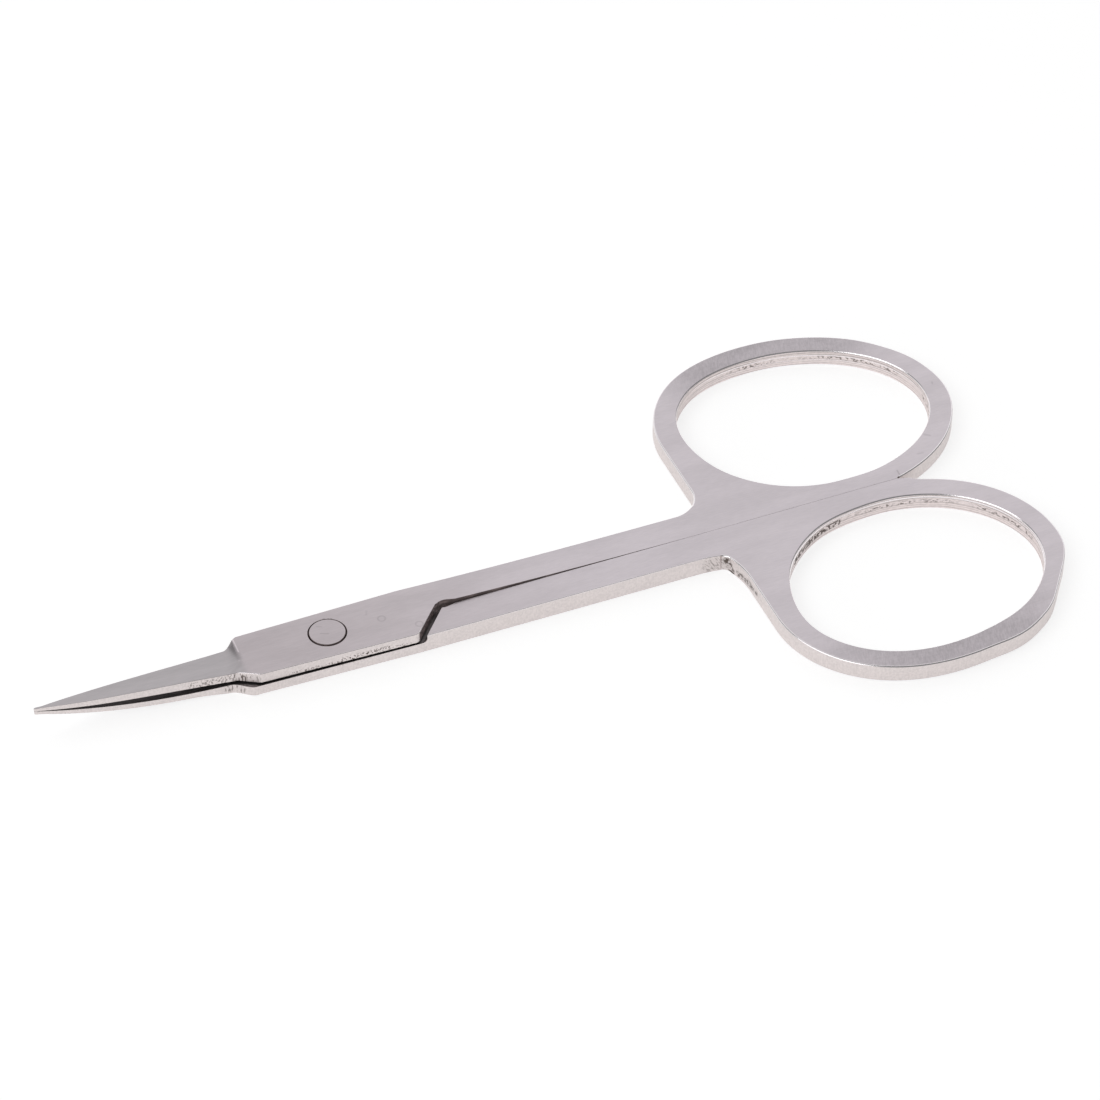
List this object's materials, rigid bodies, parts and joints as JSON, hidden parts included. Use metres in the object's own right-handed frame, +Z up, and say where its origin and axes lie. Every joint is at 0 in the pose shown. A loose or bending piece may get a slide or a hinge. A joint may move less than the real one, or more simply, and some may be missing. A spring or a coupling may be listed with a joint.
{
  "type": "eyebrow scissors",
  "caption": "Small all-steel scissors lying closed, with slim pointed blades that sweep up at the tip, a half-lap joint on a flush rivet, and oval finger rings.",
  "frame": {"origin": "the pivot axis on the surface that the closed scissors lie on, at the middle of the rivet's lower end", "axes": "+X from the pivot along the scissors to the finger rings, +Y to the upper half's ring, +Z up along the pivot"},
  "size_m": [0.0926, 0.0468, 0.0029],
  "materials": {
    "upper_steel": "satin, finely brushed",
    "lower_steel": "satin, finely brushed",
    "rivet_steel": "satin, ground flush"
  },
  "bodies": {
    "lower": {"lower_half": "lower_steel", "pivot_rivet": "rivet_steel"},
    "upper": {"upper_half": "upper_steel"}
  },
  "joints": [
    {"name": "pivot_hinge", "type": "hinge", "parent": "lower", "child": "upper", "pos_m": [0, 0, 0], "axis": [0, 0, 1], "range_deg": [0, 55]}
  ]
}
